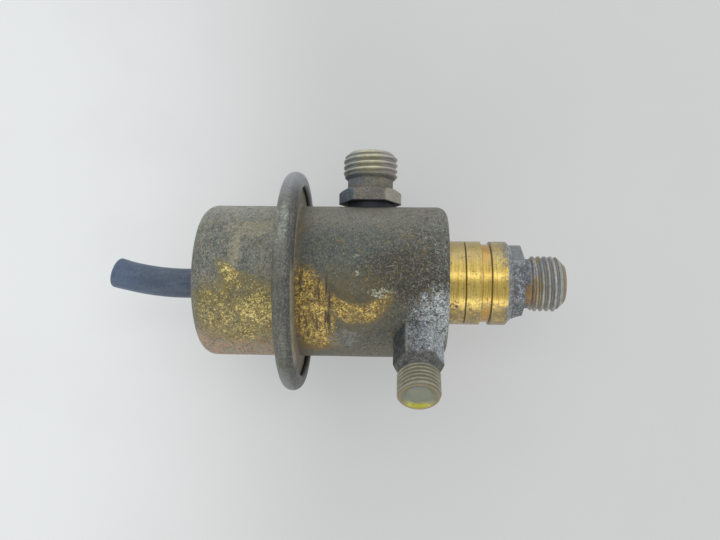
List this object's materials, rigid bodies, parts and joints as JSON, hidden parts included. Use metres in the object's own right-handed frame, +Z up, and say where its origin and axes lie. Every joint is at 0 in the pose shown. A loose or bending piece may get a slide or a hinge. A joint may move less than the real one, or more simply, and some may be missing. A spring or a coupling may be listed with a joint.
{
  "type": "fuel pressure regulator",
  "caption": "Diaphragm fuel pressure regulator: two drawn steel cups joined by a rolled rim, with threaded inlet, branch and return unions and a vacuum hose stub.",
  "frame": {"origin": "on the regulator's axis, at the middle of the spring housing's straight wall, where a bracket holds it", "axes": "+X along the axis out of the return port, +Y along the inlet port's axis, +Z up, towards the side that the picture shows"},
  "size_m": [0.1151, 0.0633, 0.0554],
  "materials": {
    "cup_steel": "dull chromate plating, greyed, with worn yellow speckle",
    "fuel_steel": "dull chromate plating with yellow patches, grime and pale corrosion",
    "inlet_steel": "dull plated thread and grimy hexagon",
    "branch_steel": "dark hexagon with pale bluish corrosion, dull yellow thread",
    "strainer_gauze": "fine woven gauze, greyed",
    "return_steel": "grey corroded hexagon and thread",
    "bush_plated": "turned, yellow plated, semi-gloss",
    "hose_rubber": "smooth black rubber with a slight sheen",
    "diaphragm_rubber": "fabric rubber, matt",
    "spring_steel": "drawn spring wire",
    "inner_steel": "clean pressed and turned steel",
    "inner_plated": "clean yellow plated steel",
    "polished_steel": "lapped, bright"
  },
  "bodies": {
    "housing": {"spring_housing": "cup_steel", "vacuum_nipple": "inner_plated", "vacuum_hose": "hose_rubber", "spring_seat": "inner_steel", "main_spring": "spring_steel", "diaphragm": "diaphragm_rubber", "fuel_housing": "fuel_steel", "inlet_fitting": "inlet_steel", "branch_fitting": "branch_steel", "branch_strainer": "strainer_gauze", "return_bush": "bush_plated", "return_fitting": "return_steel", "return_tube": "inner_steel", "valve_seat": "polished_steel"},
    "valve_group": {"spring_plate": "inner_plated", "support_washer": "inner_steel", "valve_carrier": "inner_plated", "pivot_ball": "polished_steel", "valve_plate": "polished_steel", "plate_spring": "spring_steel", "plate_retainer": "inner_steel"}
  },
  "joints": [
    {"name": "valve_lift", "type": "slide", "parent": "housing", "child": "valve_group", "axis": [-1, 0, 0], "range_m": [0, 0.0012], "stiffness_N_per_m": 2000, "deforming": ["main_spring", "diaphragm"]}
  ]
}
